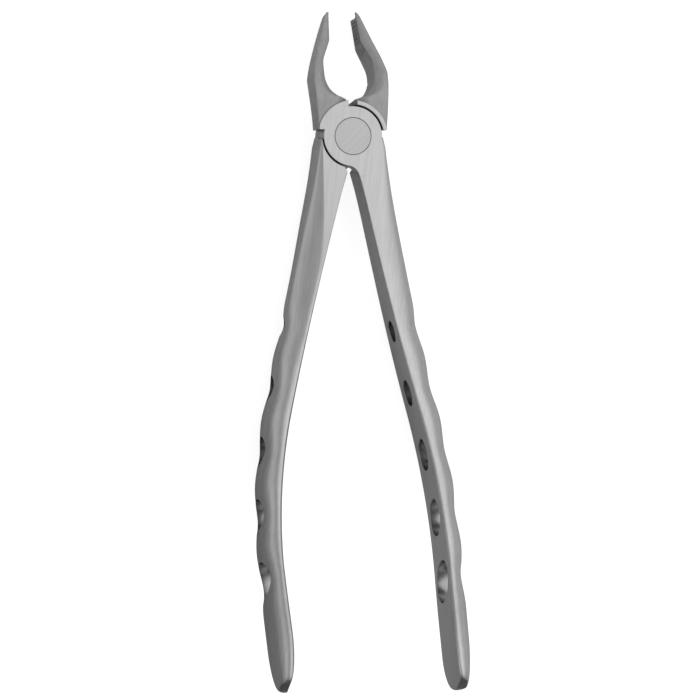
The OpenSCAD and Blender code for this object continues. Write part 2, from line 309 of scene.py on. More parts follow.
def bar_ring(s, *steps):
    h, c = heading(s), climb(s)
    side = np.array([math.cos(h), math.sin(h), 0])
    forward = np.array([math.sin(h) * math.cos(c), -math.cos(h) * math.cos(c), math.sin(c)])
    up = np.cross(forward, side)
    sink = END_SINK * end_way(s, FRONT_END[0]) ** 2
    middle = np.array([*plan_point(s), lift(s) - sink])
    front = bar_part(s, 1, *steps) * [1, end_size(s, *FRONT_END)]
    back = bar_part(s, -1, *steps)[::-1] * [1, end_size(s, *BACK_END)]
    ring = np.concatenate([front, back]) * [end_size(s, *SIDE_END), 1]
    return middle + np.outer(ring[:, 0], side) + np.outer(ring[:, 1], up)


print("the cap keeps %.0f %% of the front's height" % (100 * end_size(HANDLE_LEN, *FRONT_END)))

# %% [markdown]
# ## Lean of the jaw
# A jaw leaves the joint level, bends and leans back. A straight jaw could be turned as a
# whole, but that leaves a kink at the joint. An arc that ends in a straight line has none.

# %% Lean of the jaw
JAW_LEN = 31.8
JAW_LEAN = math.radians(24)
JAW_BEND_Y, JAW_BEND_LEN = 3.0, 13.0
BEND_R = JAW_BEND_LEN / math.sin(JAW_LEAN)


def bend_way(y):
    return min(JAW_BEND_LEN, max(0.0, y - JAW_BEND_Y))


def jaw_z(y):
    past = max(0.0, y - JAW_BEND_Y - JAW_BEND_LEN)
    return math.sqrt(BEND_R ** 2 - bend_way(y) ** 2) - BEND_R - math.tan(JAW_LEAN) * past


print("jaw tip leans back to %.1f mm" % jaw_z(JAW_LEN))

# %% [markdown]
# ## Edges of the jaw
# Seen from the front, the outer edge of a jaw has crisp corners, so plain interpolation
# between named points is the honest tool there; a spline would wash them out. The inner edge
# is a part of a circle and the straight line that touches it without a corner.

# %% Edges of the jaw
JAW_ROOT_X, JAW_ROOT_Y = 9.25, 1.7
JAW_CORNER_X, JAW_CORNER_Y = 10.35, 15.5
JAW_SIDE = 1.2
JAW_CURVE = 1.2
TIP_GAP, TIP_T, TIP_BEVEL = 3.5, 1.4, 0.9
TIP_X, TIP_Y = TIP_GAP + TIP_T, JAW_LEN - TIP_BEVEL
GRIP_LEN, GRIP_FLARE = 7.6, 0.65
FACE_X, FACE_Y = TIP_GAP + GRIP_FLARE, JAW_LEN - GRIP_LEN
THROAT_R, THROAT_Y = 6.7, 16.0
WEB_LOW, WEB_HIGH = THROAT_Y - 3.6, THROAT_Y - 0.7
LIP_Y = THROAT_Y + 1
LIP_REACH = math.hypot(FACE_X, FACE_Y - LIP_Y)
LIP_ANGLE = math.atan2(FACE_Y - LIP_Y, FACE_X) - math.acos(THROAT_R / LIP_REACH)
LIP_END_X = THROAT_R * math.cos(LIP_ANGLE)
LIP_END_Y = LIP_Y + THROAT_R * math.sin(LIP_ANGLE)


def between(y, table):
    return float(np.interp(y, *zip(*table)))


def jaw_in(y):
    if y < LIP_Y:
        return between(y, [(WEB_LOW, JAW_SIDE), (WEB_HIGH, THROAT_R)])
    if y < LIP_END_Y:
        return math.sqrt(THROAT_R ** 2 - (y - LIP_Y) ** 2)
    return between(y, [(LIP_END_Y, LIP_END_X), (FACE_Y, FACE_X), (JAW_LEN, TIP_GAP)])


def jaw_out(y):
    if y < JAW_CORNER_Y:
        return between(y, [(JAW_ROOT_Y, JAW_ROOT_X), (JAW_CORNER_Y, JAW_CORNER_X)])
    u = min(1.0, (y - JAW_CORNER_Y) / (TIP_Y - JAW_CORNER_Y))
    return JAW_CORNER_X + (TIP_X - JAW_CORNER_X) * u ** JAW_CURVE - max(0.0, y - TIP_Y)


print("jaw %.1f mm wide at its corner" % (jaw_out(JAW_CORNER_Y) - jaw_in(JAW_CORNER_Y)))

# %% [markdown]
# ## Section of the jaw
# The outer side is rounded and narrows a little toward the back, like every forging that has
# to leave its die. The front rolls off toward the throat and, past the bend, falls a little
# outward. A plain box with chamfers would be quicker, but a dull surface looks forged only
# when it turns slowly.

# %% Section of the jaw
JAW_DEPTH, TIP_DEPTH = 9.8, 5.4
ROOT_SINK = 0.6
DEPTHS = [(JAW_ROOT_Y, JOINT_T - ROOT_SINK), (THROAT_Y, JAW_DEPTH),
          (FACE_Y, (JAW_DEPTH + TIP_DEPTH) / 2), (JAW_LEN, TIP_DEPTH)]
JAW_DRAFT = math.tan(math.radians(5.5))
JAW_FALL = 0.28
FALL_FROM, FALL_FULL = 12, 19
OUTER_R, OUTER_SHARE, OUTER_DEEP = 0.9, 0.4, 0.8
ROLL, ROLL_SHARE, ROLL_POWER = 3.0, 0.6, 1.7
FRONT_ROLL, BACK_ROLL = 0.62, 0.2
HAIR, INNER_DROP = 0.02, 0.05


def jaw_ring(y, steps):
    inner, outer, half_depth = jaw_in(y), jaw_out(y), between(y, DEPTHS) / 2
    mouth = math.sqrt(max(0.0, THROAT_R ** 2 - (y - THROAT_Y) ** 2)) if y < THROAT_Y else 0.0
    edge = max(inner, mouth)
    past = ease(FALL_FROM, FALL_FULL, y)
    fall = JAW_FALL * past
    round_x = min(OUTER_R + OUTER_R * past, OUTER_SHARE * (outer - edge))
    ridge = half_depth - fall * (outer - round_x - edge)
    round_z = OUTER_DEEP * ridge
    t = np.linspace(0, math.pi / 2, steps)
    corner_x = outer - round_x + round_x * np.cos(t)
    corner = np.stack([corner_x, ridge - round_z + round_z * np.sin(t)], 1)
    roll = min(ROLL, ROLL_SHARE * (outer - edge))
    x = np.linspace(outer - round_x, edge + HAIR, steps)[1:]
    near = np.maximum(0, 1 - (x - edge) / roll) ** ROLL_POWER
    sides = []
    for depth in (FRONT_ROLL * roll, BACK_ROLL * roll):
        top = np.stack([x, half_depth - fall * (x - edge) - depth * near], 1)
        sides.append(np.concatenate([corner, top, [[inner, half_depth - depth - INNER_DROP]]]))
    ring = np.concatenate([sides[0], sides[1][::-1] * [1, -1]])
    ring[:, 0] += (ring[:, 0] - inner) * ring[:, 1] * JAW_DRAFT / (outer - inner)
    lean = math.asin(bend_way(y) / BEND_R)
    up = np.array([0, math.sin(lean), math.cos(lean)])
    return np.array([0, y, jaw_z(y)]) + np.outer(ring[:, 0], [1, 0, 0]) + np.outer(ring[:, 1], up)


print("jaw %.1f mm deep at the throat, %.1f mm at the tip" % (JAW_DEPTH, TIP_DEPTH))

# %% [markdown]
# ## Solids
# Blender offers ready-made cylinders and cubes, but none with this object's profiles. Three
# tools make every solid here from points: a skin over rings for the forged shapes, a turned
# profile for the round ones and a slab over an outline for the flat ones. All of them give
# closed meshes, because only closed meshes can be cut cleanly later.

# %% Solids
TURN_STEPS = 192


def solid(name, points, faces):
    mesh = bpy.data.meshes.new(name)
    mesh.from_pydata([tuple(p) for p in np.asarray(points) * MM], [], faces)
    mesh.validate()
    piece = bpy.data.objects.new(name, mesh)
    bpy.context.scene.collection.objects.link(piece)
    return piece


def skin(name, rings):
    n, m = len(rings[0]), len(rings) - 1
    faces = [tuple(range(n - 1, -1, -1)), tuple(m * n + k for k in range(n))]
    for i in range(m):
        for k in range(n):
            j = (k + 1) % n
            faces.append((i * n + k, i * n + j, (i + 1) * n + j, (i + 1) * n + k))
    return solid(name, np.concatenate(rings), faces)


def turned(name, profile, steps=TURN_STEPS):
    """A closed profile of (radius, height) turned about Z; it starts and ends on the axis."""
    low, *rim, high = profile
    ways = np.linspace(0, 2 * math.pi, steps, endpoint=False)
    points = [(r * math.cos(t), r * math.sin(t), z) for r, z in rim for t in ways]
    points += [(0, 0, low[1]), (0, 0, high[1])]
    last = (len(rim) - 1) * steps
    faces = []
    for k in range(steps):
        j = (k + 1) % steps
        faces.append((len(points) - 2, j, k))
        faces.append((len(points) - 1, last + k, last + j))
        for i in range(0, last, steps):
            faces.append((i + k, i + j, i + steps + j, i + steps + k))
    return solid(name, points, faces)


def slab(name, outline, low, high):
    n = len(outline)
    points = [(x, y, z) for z in (low, high) for x, y in outline]
    faces = [tuple(range(n - 1, -1, -1)), tuple(range(n, 2 * n))]
    faces += [(k, (k + 1) % n, (k + 1) % n + n, k + n) for k in range(n)]
    return solid(name, points, faces)


print("round solids have", TURN_STEPS, "sides")

# %% [markdown]
# ## Placing and cutting
# An object can be moved as a whole, but here its mesh is moved, so that every piece keeps the
# frame's own zero. One boolean step joins or cuts. Cutting with closed solids is how the steel
# is worked too: first the blank, then the drill and the grinder.

# %% Placing and cutting
MIRROR = Matrix.Scale(-1, 4, (1, 0, 0))
FLIP = Matrix.Scale(-1, 4, (0, 0, 1))


def shift(x, y, z):
    return Matrix.Translation(Vector((x, y, z)) * MM)


def turn(angle, axis):
    return Matrix.Rotation(angle, 4, axis)


def place(piece, matrix):
    piece.data.transform(matrix)
    if matrix.determinant() < 0:
        piece.data.flip_normals()
    return piece


def work(piece, tool, operation):
    """Joins, cuts or keeps what is shared, and uses the tool up."""
    step = piece.modifiers.new("work", "BOOLEAN")
    step.operation = operation
    step.object = tool
    step.solver = "MANIFOLD"
    bpy.context.view_layer.update()
    ready = piece.evaluated_get(bpy.context.evaluated_depsgraph_get())
    mesh = bpy.data.meshes.new_from_object(ready)
    piece.modifiers.clear()
    piece.data = mesh
    bpy.data.objects.remove(tool)
    return piece


print("mirror and boolean step ready")

# %% [markdown]
# ## Handle with its holes
# Five holes go through the flat inner face of each grip and come out on its round outer side.
# Dark spots in the material would look right from one side only, so the holes are really
# drilled. Each drill is a turned profile that flares where it meets the inner face, which
# leaves the soft, polished rim that a real grip hole has.

# %% Handle with its holes
DRILL_REACH = 12
RIM_STEPS = 7
HOLE_STEPS = 128
BAR_STATIONS = 300
END_STATIONS = 24


def hole_r(i):
    return (HOLE_D + i * HOLE_STEP) / 2


def drill(i):
    s, r = HOLE_START + i * HOLE_PITCH, hole_r(i)
    face = -bar_t(s) / 2
    flare = [(r + RIM * (1 - math.sin(k)), face + RIM * (1 - math.cos(k)))
             for k in np.linspace(0, math.pi / 2, RIM_STEPS)]
    start = [(0, -DRILL_REACH), (r + RIM, -DRILL_REACH)]
    tool = turned("drill", start + flare + [(r, DRILL_REACH), (0, DRILL_REACH)], HOLE_STEPS)
    x, y = plan_point(s)
    return place(tool, shift(x, y, lift(s)) @ turn(heading(s), "Z") @ turn(math.pi / 2, "Y"))


def handle(name):
    bar_end = HANDLE_LEN - END_LEN
    stations = list(np.linspace(HANDLE_ROOT, bar_end, BAR_STATIONS))
    stations += [bar_end + END_LEN * math.sin(math.pi / 2 * k / END_STATIONS)
                 for k in range(1, END_STATIONS + 1)]
    bar = skin(name, [bar_ring(s, *RING_STEPS) for s in stations])
    for i in range(HOLE_COUNT):
        work(bar, drill(i), "DIFFERENCE")
    return bar


print("holes %.1f to %.1f mm wide" % (2 * hole_r(0), 2 * hole_r(HOLE_COUNT - 1)))

# %% [markdown]
# ## Gouge for the gripping face
# The gripping face of a jaw is hollow ground and crossed by grooves. Each groove could be cut
# by itself, but one tool does it all: a round bar with a ball end and a few sharp collars,
# laid along the leaning jaw.

# %% Gouge for the gripping face
HOLLOW_R, HOLLOW_DEPTH, BALL_STEPS = 4.2, 0.6, 16
GROOVE_COUNT, GROOVE_PITCH, GROOVE_DEPTH = 6, 1.15, 0.25
FACE_TURN = math.atan(GRIP_FLARE / GRIP_LEN)
GOUGE_PLACE = (shift(FACE_X + HOLLOW_DEPTH - HOLLOW_R, FACE_Y, jaw_z(FACE_Y))
               @ turn(FACE_TURN, "Z") @ turn(-math.pi / 2 - JAW_LEAN, "X"))


def gouge():
    ball = np.linspace(0, math.pi / 2, BALL_STEPS)
    profile = [(HOLLOW_R * math.sin(k), -HOLLOW_R * math.cos(k)) for k in ball]
    for i in range(1, GROOVE_COUNT + 1):
        z = i * GROOVE_PITCH
        profile.append((HOLLOW_R, z - GROOVE_DEPTH))
        profile.append((HOLLOW_R + GROOVE_DEPTH, z))
        profile.append((HOLLOW_R, z + GROOVE_DEPTH))
    return turned("gouge", profile + [(HOLLOW_R, 2 * GRIP_LEN), (0, 2 * GRIP_LEN)])


print("gripping face %.1f mm long with %d grooves" % (GRIP_LEN, GROOVE_COUNT))

# %% [markdown]
# ## Flat at the jaw's root
# Each jaw starts with a small flat that is level with the joint and has a round rim. It could
# belong to the jaw's skin, but its rim follows the joint and not the jaw. So it is turned like
# a washer, and a slab keeps only the jaw's side of it.

# %% Flat at the jaw's root
FLAT_R, FLAT_X, FLAT_OVER = 9.4, 8.9, 0.5


def ground_flat():
    r, top = FLAT_R, HALF_T + ALLOWANCE
    ring = turned("flat", [(0, -top), (r - EDGE, -top), (r, EDGE - top),
                           (r, top - EDGE), (r - EDGE, top), (0, top)])
    back = FLAT_X - JOINT_T * JAW_DRAFT
    more = FLAT_OVER * JAW_DRAFT
    outline = [(JAW_SIDE, -top - FLAT_OVER), (back - more, -top - FLAT_OVER),
               (FLAT_X + more, top + FLAT_OVER), (JAW_SIDE, top + FLAT_OVER)]
    sector = place(slab("sector", outline, -THROUGH, -JAW_ROOT_Y), turn(math.pi / 2, "X"))
    return work(ring, sector, "INTERSECT")


print("flat %.1f mm in radius" % FLAT_R)

# %% [markdown]
# ## Jaw
# The blank of a jaw is a skin over its sections, from the tip to the root. Evenly spaced
# sections alone would round off the corners of the outline. So every corner has a section of
# its own, and the even ones that come too close to it are left out. Then the flat is joined
# and the gripping face is cut.

# %% Jaw
JAW_SPACING = 0.25
JAW_STEPS = 24
TOO_CLOSE = 0.1
CORNERS = [JAW_ROOT_Y, WEB_LOW, WEB_HIGH, JAW_CORNER_Y, LIP_END_Y, FACE_Y, TIP_Y, JAW_LEN]


def jaw():
    fine = np.arange(JAW_ROOT_Y, JAW_LEN, JAW_SPACING)
    fine = [y for y in fine if min(abs(y - c) for c in CORNERS) > TOO_CLOSE]
    stations = sorted(CORNERS + fine, reverse=True)
    blank = skin("jaw", [jaw_ring(y, JAW_STEPS) for y in stations])
    work(blank, ground_flat(), "UNION")
    return work(blank, place(gouge(), GOUGE_PLACE), "DIFFERENCE")


print("jaw has", len(CORNERS), "corners along its length")

# %% [markdown]
# ## Lap disc and recess
# The two halves cross in two discs of half the joint's thickness. The other half's disc needs
# a round recess here, a little wider than the disc. Both could be plain cylinders, but a
# turned profile carries its broken edge with it. On each half one of the two is flipped over,
# so that disc and recess lie on opposite layers.

# %% Lap disc and recess
def lap_disc(side):
    top = HALF_T + ALLOWANCE
    disc = turned("disc", [(0, 0), (DISC_R, 0), (DISC_R, top - EDGE),
                           (DISC_R - EDGE, top), (0, top)])
    return disc if side > 0 else place(disc, FLIP)


def recess(side):
    r, wide = RECESS_R, RECESS_R + 2 * EDGE
    tool = turned("recess", [(0, -LAP_GAP / 2), (r, -LAP_GAP / 2), (r, HALF_T - EDGE),
                             (wide, HALF_T + EDGE), (wide, THROUGH), (0, THROUGH)])
    return tool if side < 0 else place(tool, FLIP)


print("disc %.1f mm, recess %.1f mm in radius" % (DISC_R, RECESS_R))

# %% [markdown]
# ## Crotch and relief
# Where the leg meets the disc a small round fillet, the crotch, keeps the corner from
# cracking. On the other layer the leg is cut back behind the recess, the relief, so that the
# other half's crotch has room to swing. A bevel could round the corner after the joining, but
# it is hard to steer where curved faces meet. Slabs over a drawn outline go where they should.

# %% Crotch and relief
CROTCH_R, CROTCH_STEPS = 3.5, 24
LEG_PAST = 0.8  # about how far the leg's inner side passes the joint's centre
CROTCH_SINK = 0.05
CROTCH_IN = np.array([2, 0])
RELIEF_LEN = 1.2
RELIEF_START = math.radians(-74)
RELIEF_HIGH, RELIEF_LOW = np.array([4, 0]), np.array([3, 0])


def inner_point(s):
    return (LEG_OFFSET - bar_t(s) / 2) * LEG_SIDE + s * along(LEG_ANGLE)


def crotch(side):
    s = math.sqrt((DISC_R + CROTCH_R) ** 2 - (CROTCH_R + LEG_PAST) ** 2)
    foot = inner_point(s) + CROTCH_SINK * LEG_SIDE
    centre = foot - CROTCH_R * LEG_SIDE
    first = math.atan2(-centre[1], -centre[0])
    outline = []
    for k in range(CROTCH_STEPS + 1):
        way = first + (LEG_ANGLE - first) * k / CROTCH_STEPS
        outline.append(centre + CROTCH_R * np.array([math.cos(way), math.sin(way)]))
    outline += [foot + CROTCH_IN, CROTCH_IN - [0, 0.6 * DISC_R]]
    low, high = sorted((side * LAP_GAP / 2, side * HALF_T + ALLOWANCE))
    return slab("crotch", outline, low, high)


def relief(side):
    low = inner_point(RECESS_R + RELIEF_LEN)
    high = RECESS_R * np.array([math.cos(RELIEF_START), math.sin(RELIEF_START)])
    outline = [high, high - RELIEF_HIGH, low - RELIEF_LOW, low]
    bottom, top = sorted((side * LAP_GAP / 2, -side * THROUGH))
    return slab("relief", outline, bottom, top)


print("crotch radius %.1f mm" % CROTCH_R)

# %% [markdown]
# ## Throat and grinder
# The round throat between the jaws is bored, and a cone breaks its front edge. The grinder is a
# slab that makes the joint's faces level in one pass. The blanks could be drawn to size
# instead, but then small steps would show where disc and handle meet.

# %% Throat and grinder
THROAT_LEAN = math.radians(8)
JAW_BREAK = 0.7
MOUTH_H, MOUTH_TURN = 1.5, math.radians(3)
GRIND_PAST, GRIND_SIDE, GRIND_STEPS = 0.05, 0.2, 97


def throat():
    tool = turned("throat", [(0, -THROUGH), (THROAT_R, -THROUGH), (THROAT_R, THROUGH), (0, THROUGH)])
    return place(tool, shift(0, THROAT_Y, 0) @ turn(-THROAT_LEAN, "X"))


def throat_mouth():
    front_z = jaw_z(THROAT_Y) + JAW_DEPTH / 2 / math.cos(JAW_LEAN)
    r, h = THROAT_R + JAW_BREAK, MOUTH_H
    cone = turned("mouth", [(0, -h), (r - h, -h), (r + h, h), (0, h)])
    spot = shift(0, THROAT_Y, 0) @ turn(-THROAT_LEAN, "X") @ shift(0, 0, front_z)
    return place(cone, spot @ turn(THROAT_LEAN - JAW_LEAN + MOUTH_TURN, "X"))


def grinder(name, low_y, low_z, high_z):
    r, side_y = FLAT_R + GRIND_PAST, JAW_ROOT_Y - GRIND_SIDE
    outline = [(-THROUGH, side_y), (-THROUGH, low_y), (THROUGH, low_y), (THROUGH, side_y)]
    for k in np.linspace(0, math.pi, GRIND_STEPS):
        if r * math.sin(k) > side_y:
            outline.append((r * math.cos(k), r * math.sin(k)))
    return slab(name, outline, low_z, high_z)


print("throat %.1f mm wide" % (2 * THROAT_R))

# %% [markdown]
# ## The two halves
# A half is a handle on one side and a jaw on the other, joined by its lap disc and ground.
# Then come the recess, the relief and the throat. It could be one long skin, but joining plain
# blanks and cutting them is easier to follow and to change. The front half is bored for the
# pivot with a little play; the rear half gets a countersink that the pivot's tail fills. The
# rear half is the same work mirrored, with the disc on the other layer.

# %% The two halves
FRONT_GRIND_Y, BACK_GRIND_Y = -12, -9.5
BORE_LOW, BORE_EDGE = 0.06, 0.12
SEAT_OVER = 0.5


def half(name, side):
    piece = handle(name)
    work(piece, place(jaw(), MIRROR), "UNION")
    work(piece, lap_disc(side), "UNION")
    work(piece, crotch(side), "UNION")
    work(piece, grinder("front grinder", FRONT_GRIND_Y, HALF_T, THROUGH), "DIFFERENCE")
    work(piece, grinder("back grinder", BACK_GRIND_Y, -THROUGH, -HALF_T), "DIFFERENCE")
    for tool in (recess(side), relief(side), throat(), throat_mouth()):
        work(piece, tool, "DIFFERENCE")
    return piece


def front_bore():
    shank, head = SHANK_R + PLAY, HEAD_R + PLAY
    step_z = HALF_T - HEAD_T - LAP_GAP
    return turned("bore", [(0, -THROUGH), (shank, -THROUGH), (shank, step_z), (head, step_z),
                           (head, HALF_T - BORE_LOW), (head + BORE_EDGE, HALF_T + BORE_LOW),
                           (head + BORE_EDGE, THROUGH), (0, THROUGH)])


def tail_profile(over):
    flare = over * (TAIL_R - SHANK_R) / TAIL_H
    return [(0, -HALF_T - over), (TAIL_R + flare, -HALF_T - over), (SHANK_R, TAIL_H - HALF_T)]


front = work(half("front_skin", 1), front_bore(), "DIFFERENCE")
rear = place(half("rear_skin", -1), MIRROR)
seat = turned("seat", tail_profile(SEAT_OVER) + [(SHANK_R, THROUGH), (0, THROUGH)])
rear = work(rear, seat, "DIFFERENCE")
print("front %d faces, rear %d faces" % (len(front.data.polygons), len(rear.data.polygons)))

# %% [markdown]
# ## Pivot
# The pivot is turned: a wide flush head in front, a shank, and a tail that was closed into
# the countersink at the back. A ring in the material could stand for the seam around the head,
# but a true gap with broken edges catches light as a fine ring. Then all three pieces are
# raised to the frame's height.

# %% Pivot
PIVOT_EDGE = 0.08
head_low = HALF_T - HEAD_T
head_profile = [(SHANK_R, head_low), (HEAD_R, head_low), (HEAD_R, HALF_T - PIVOT_EDGE),
                (HEAD_R - PIVOT_EDGE, HALF_T), (0, HALF_T)]
pivot = turned("pivot_skin", tail_profile(0) + head_profile)
for piece in (front, rear, pivot):
    place(piece, shift(0, 0, HALF_T))
print("pivot %d faces" % len(pivot.data.polygons))

# %% [markdown]
# ## Node helpers
# Looks are built from small nodes. In the editor they are wired by hand; in a script every
# wire is a line, and the lines pile up. A few helpers keep that readable: one puts a number or
# a link on a socket, two add a step of arithmetic, and one maps a span of values to two levels.

# %% Node helpers
def feed(tree, socket, value):
    if isinstance(value, (int, float, tuple)):
        socket.default_value = value
    else:
        tree.links.new(value, socket)


def calc(tree, operation, *values):
    node = tree.nodes.new("ShaderNodeMath")
    node.operation = operation
    for socket, value in zip(node.inputs, values):
        feed(tree, socket, value)
    return node.outputs[0]


def vector_calc(tree, operation, a, b, output):
    node = tree.nodes.new("ShaderNodeVectorMath")
    node.operation = operation
    feed(tree, node.inputs[0], a)
    feed(tree, node.inputs[1], b)
    return node.outputs[output]


def levels(tree, value, low, high, low_level, high_level):
    node = tree.nodes.new("ShaderNodeMapRange")
    names = ("Value", "From Min", "From Max", "To Min", "To Max")
    for name, given in zip(names, (value, low, high, low_level, high_level)):
        feed(tree, node.inputs[name], given)
    return node.outputs[0]


print("node helpers ready")

# %% [markdown]
# ## Grain, worn edges and painted nook shade
# All of it is stainless steel, but no two surfaces are finished alike. Two things tell a
# used tool from a new one: fine grain and slow changes of tone, and edges that hands have
# rubbed brighter. A third recipe is painted shade: it darkens the colour in creases, holes
# and gaps, where less light falls. Images of steel could be laid on, but they repeat and
# need unwrapping. A small recipe of nodes does neither.

# %% Grain, worn edges and painted nook shade
WORN_FROM, WORN_FULL = 0.98, 0.75
NOOK_REACH, NOOK_SAMPLES = 0.0025, 6
NOOK_SHUT, NOOK_OPEN, NOOK_SHADE = 0.1, 0.75, 0.35


def noise(tree, vector, scale, detail):
    node = tree.nodes.new("ShaderNodeTexNoise")
    node.inputs["Scale"].default_value = scale
    node.inputs["Detail"].default_value = detail
    tree.links.new(vector, node.inputs["Vector"])
    return node.outputs["Fac"]


def swing(tree, value, amount):
    """Noise lies around one half; this swings around zero, as far as the amount says."""
    return calc(tree, "MULTIPLY", calc(tree, "SUBTRACT", value, 0.5), amount)


def worn_edges(tree, rounded):
    """1 where the rounded normal turns away from the true one."""
    true_normal = tree.nodes.new("ShaderNodeNewGeometry").outputs["Normal"]
    facing = vector_calc(tree, "DOT_PRODUCT", rounded, true_normal, "Value")
    return levels(tree, facing, WORN_FROM, WORN_FULL, 0.0, 1.0)


# Painted shade: ambient occlusion darkens the steel's colour in creases, holes and gaps.
def shaded_nooks(tree):
    node = tree.nodes.new("ShaderNodeAmbientOcclusion")
    node.samples = NOOK_SAMPLES
    node.inputs["Distance"].default_value = NOOK_REACH
    return levels(tree, node.outputs["AO"], NOOK_SHUT, NOOK_OPEN, NOOK_SHADE, 1.0)


print("nooks darken within %.1f mm" % (NOOK_REACH / MM))

# %% [markdown]
# ## Steel finish group
# One node group puts the recipes together and gives a colour, a roughness and a normal. The
# grain is noise drawn out along one direction. Each material could hold its own copy of these
# nodes, but with one group a change reaches every finish at once.

# %% Steel finish group
INPUTS = (("Tone", 0.6), ("Rough", 0.3), ("Grain", 0.5), ("Across", 900.0), ("Along", 30.0))
OUTPUTS = (("Color", "NodeSocketColor"), ("Roughness", "NodeSocketFloat"),
           ("Normal", "NodeSocketVector"))
GRAIN_NOISE, SCRATCH_NOISE = (1.0, 3.0), (0.35, 2.0)  # scale and detail
CLOUD_NOISE, SMUDGE_NOISE = (55.0, 3.0), (160.0, 4.0)
LINE_TONE, CLOUD_TONE, MARK_TONE, WORN_TONE = 0.22, 0.10, 0.35, 0.05
LINE_ROUGH, SMUDGE_ROUGH, WORN_ROUGH = 0.16, 0.10, 0.06
COOL = 1.004
EDGE_ROUND, EDGE_SAMPLES = 0.00018, 4
GRAIN_HEIGHT = 0.000004


def add_sockets(group):
    face = group.interface
    for name, value in INPUTS:
        socket = face.new_socket(name=name, in_out="INPUT", socket_type="NodeSocketFloat")
        socket.default_value = value
    face.new_socket(name="Coords", in_out="INPUT", socket_type="NodeSocketVector")
    for name, kind in OUTPUTS:
        face.new_socket(name=name, in_out="OUTPUT", socket_type=kind)


def finish_group():
    group = bpy.data.node_groups.new("steel_finish", "ShaderNodeTree")
    add_sockets(group)
    nodes, links = group.nodes, group.links
    given = nodes.new("NodeGroupInput").outputs
    out = nodes.new("NodeGroupOutput").inputs
    stretch = nodes.new("ShaderNodeCombineXYZ")
    for socket, name in zip(stretch.inputs, ("Across", "Along", "Across")):
        links.new(given[name], socket)
    drawn = vector_calc(group, "MULTIPLY", given["Coords"], stretch.outputs[0], "Vector")
    grain = noise(group, drawn, *GRAIN_NOISE)
    scratch = noise(group, drawn, *SCRATCH_NOISE)
    cloud = noise(group, given["Coords"], *CLOUD_NOISE)
    smudge = noise(group, given["Coords"], *SMUDGE_NOISE)
    rounded = nodes.new("ShaderNodeBevel")
    rounded.samples = EDGE_SAMPLES
    rounded.inputs["Radius"].default_value = EDGE_ROUND
    worn = worn_edges(group, rounded.outputs[0])

    lines = swing(group, grain, given["Grain"])
    marks = swing(group, scratch, calc(group, "MULTIPLY", given["Grain"], MARK_TONE))
    tone = calc(group, "ADD", given["Tone"], calc(group, "MULTIPLY", lines, LINE_TONE))
    tone = calc(group, "ADD", tone, swing(group, cloud, CLOUD_TONE))
    tone = calc(group, "ADD", tone, marks)
    tone = calc(group, "ADD", tone, calc(group, "MULTIPLY", worn, WORN_TONE))
    # Painted shade: the tone is darkened wherever the occlusion finds a crease.
    tone = calc(group, "MULTIPLY", tone, shaded_nooks(group))
    tint = nodes.new("ShaderNodeCombineColor")
    for socket, value in zip(tint.inputs, (tone, tone, calc(group, "MULTIPLY", tone, COOL))):
        links.new(value, socket)
    links.new(tint.outputs[0], out["Color"])

    rough = calc(group, "ADD", given["Rough"], calc(group, "MULTIPLY", lines, LINE_ROUGH))
    rough = calc(group, "ADD", rough, swing(group, smudge, SMUDGE_ROUGH))
    rough = calc(group, "SUBTRACT", rough, calc(group, "MULTIPLY", worn, WORN_ROUGH))
    links.new(rough, out["Roughness"])

    bump = nodes.new("ShaderNodeBump")
    bump.inputs["Distance"].default_value = GRAIN_HEIGHT
    links.new(given["Grain"], bump.inputs["Strength"])
    links.new(grain, bump.inputs["Height"])
    links.new(rounded.outputs[0], bump.inputs["Normal"])
    links.new(bump.outputs[0], out["Normal"])
    return group


FINISH = finish_group()
print("finish group with", len(FINISH.nodes), "nodes")

# %% [markdown]
# ## Finishes
# The handles and the faces of the joint are satin with the grain along their length. The
# jaws are blasted and dull. Holes keep rings from the drill, and their walls are painted
# darker as shade inside the holes; the gripping faces are cut and painted darker as the
# shade of their hollow, and the pivot's head is ground on the slant.
# One material with masks could hold all that, but five small ones are easier to tune: each
# only chooses tone, roughness, grain and the grain's direction.

# %% Finishes
def steel(name, tone, rough, grain, across, along, angle=0.0):
    material = bpy.data.materials.new(name)
    material.use_nodes = True
    nodes, links = material.node_tree.nodes, material.node_tree.links
    shader = nodes["Principled BSDF"]
    shader.inputs["Metallic"].default_value = 1.0
    finish = nodes.new("ShaderNodeGroup")
    finish.node_tree = FINISH
    for (socket, _), value in zip(INPUTS, (tone, rough, grain, across, along)):
        finish.inputs[socket].default_value = value
    coords = nodes.new("ShaderNodeTexCoord")
    rotate = nodes.new("ShaderNodeMapping")
    rotate.inputs["Rotation"].default_value = (0, 0, angle)
    links.new(coords.outputs["Object"], rotate.inputs["Vector"])
    links.new(rotate.outputs[0], finish.inputs["Coords"])
    links.new(finish.outputs["Color"], shader.inputs["Base Color"])
    links.new(finish.outputs["Roughness"], shader.inputs["Roughness"])
    links.new(finish.outputs["Normal"], shader.inputs["Normal"])
    return material


satin = steel("satin_steel", 0.62, 0.32, 0.5, 5200, 160, math.radians(6))
blasted = steel("blasted_steel", 0.52, 0.62, 0.5, 2600, 900)
# Painted shade: the low tones of the bored and the cut finish stand for shade inside the holes and
# in the hollow of the gripping face.
bored = steel("painted_shade_bored_steel", 0.44, 0.20, 0.3, 3000, 3000)
cut = steel("painted_shade_cut_steel", 0.35, 0.42, 0.7, 4200, 1500)
head_steel = steel("pivot_steel", 0.56, 0.32, 0.45, 6500, 120, math.radians(48))
print("finishes:", [m.name for m in bpy.data.materials if m.name.endswith("steel")])

# %% [markdown]
# ## Which face gets which finish
# Each face is asked where it is and where it looks: on a jaw and not level with the joint
# means blasted, facing a hole's axis means bored, near the gouge's axis means cut. So the
# finish follows the shape, and nothing has to be painted by hand.

